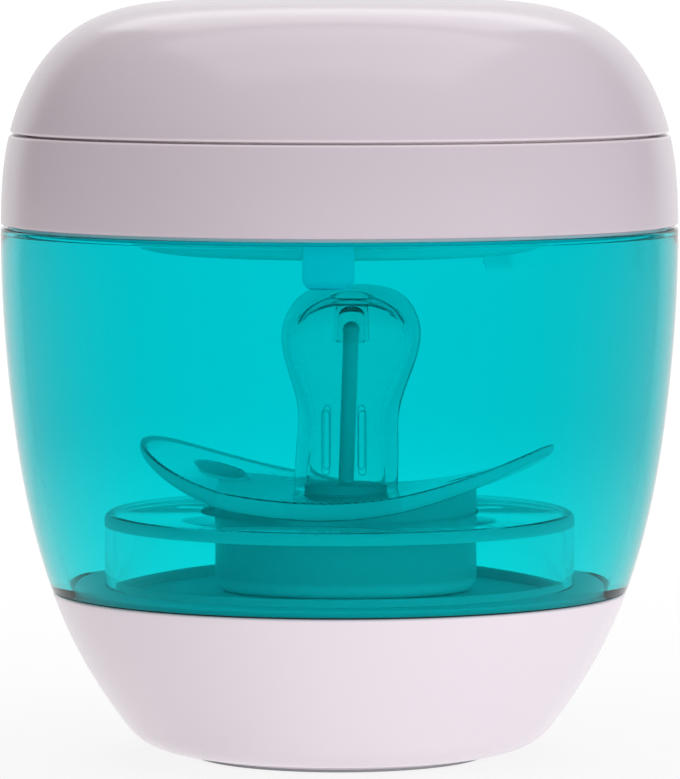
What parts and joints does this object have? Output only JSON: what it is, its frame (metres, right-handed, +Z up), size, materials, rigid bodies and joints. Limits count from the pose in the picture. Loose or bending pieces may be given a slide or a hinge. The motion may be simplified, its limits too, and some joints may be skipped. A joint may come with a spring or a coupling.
{
  "type": "pacifier sterilizer case",
  "caption": "Egg-shaped ultraviolet steriliser case with a hinged lid, a clear tinted chamber and a round stand holding a pacifier.",
  "frame": {"origin": "centre of the foot pad, on the surface that the case stands on", "axes": "+Z up through the middle of the egg, -Y towards the front where the latch tongue is, +Y towards the lid hinge at the back, +X to the right seen from the front"},
  "size_m": [0.0748, 0.0796, 0.0847],
  "materials": {
    "white_shell": "moulded ABS, white with a faint lilac tint, polished",
    "dark_gasket": "dark silicone rubber",
    "grey_deck": "moulded ABS, mid grey",
    "steel": "plated steel",
    "foot_rubber": "soft grey rubber pad",
    "teal_clear": "clear moulded plastic tinted teal, polished",
    "clear_plastic": "clear moulded plastic, polished",
    "lamp_clear": "clear UV-transparent plastic, polished",
    "pacifier_clear": "clear moulded plastic, lightly frosted",
    "silicone": "clear silicone",
    "pacifier_core": "moulded plastic",
    "reflector": "vacuum-metallised plastic",
    "circuit_board": "glass-epoxy board with solder mask",
    "led_package": "ceramic LED package",
    "black_plastic": "black moulded plastic",
    "plated_steel": "nickel-plated steel",
    "holder_plastic": "moulded ABS, unpolished",
    "cell_sleeve": "plain printed sleeve over steel can",
    "light_ring": "milky clear light guide"
  },
  "bodies": {
    "case": {"base_shell": "white_shell", "base_gasket": "dark_gasket", "base_deck": "grey_deck", "base_screws": "steel", "foot_pad": "foot_rubber", "chamber": "teal_clear", "hinge_pin": "steel", "pacifier_stand": "clear_plastic"},
    "pacifier": {"pacifier_shield": "pacifier_clear", "pacifier_knob": "pacifier_clear", "pacifier_nipple": "silicone", "pacifier_core": "pacifier_core"},
    "lid": {"lid_ring": "white_shell", "lamp_window": "lamp_clear", "window_seal": "dark_gasket", "lamp_reflector": "reflector", "main_board": "circuit_board", "uv_leds": "led_package", "button_switch": "black_plastic", "usb_socket": "plated_steel", "lid_screws": "steel", "battery_holder": "holder_plastic", "contact_plates": "plated_steel", "contact_springs": "plated_steel", "aaa_cell_1": "cell_sleeve", "aaa_cell_2": "cell_sleeve", "aaa_cell_3": "cell_sleeve", "interlock_switch": "black_plastic"},
    "battery_cover": {"lid_dome": "white_shell", "status_light": "light_ring"},
    "button": {"power_button": "white_shell"},
    "switch_plunger": {"switch_stem": "black_plastic"},
    "interlock": {"interlock_pin": "white_shell"}
  },
  "joints": [
    {"name": "lid_hinge", "type": "hinge", "parent": "case", "child": "lid", "pos_m": [0, 0.04004, 0.05885], "axis": [-1, 0, 0], "range_deg": [0, 95]},
    {"name": "cover_lift", "type": "slide", "parent": "lid", "child": "battery_cover", "axis": [0, 0, 1], "range_m": [0, 0.022]},
    {"name": "button_press", "type": "slide", "parent": "battery_cover", "child": "button", "axis": [0, 0, -1], "range_m": [0, 0.0006], "stiffness_N_per_m": 400, "springref_m": -0.001},
    {"name": "switch_press", "type": "slide", "parent": "lid", "child": "switch_plunger", "axis": [0, 0, -1], "range_m": [0, 0.0006]},
    {"name": "interlock_release", "type": "slide", "parent": "lid", "child": "interlock", "axis": [0, 0, -1], "range_m": [0, 0.0008]},
    {"name": "pacifier_lift", "type": "slide", "parent": "case", "child": "pacifier", "axis": [0, 0, 1], "range_m": [0, 0.003]}
  ],
  "couplings": [
    {"joint": "switch_press", "follows": "button_press", "ratio": 1},
    {"joint": "interlock_release", "follows": "lid_hinge", "m_per_rad": 0.0004824}
  ]
}
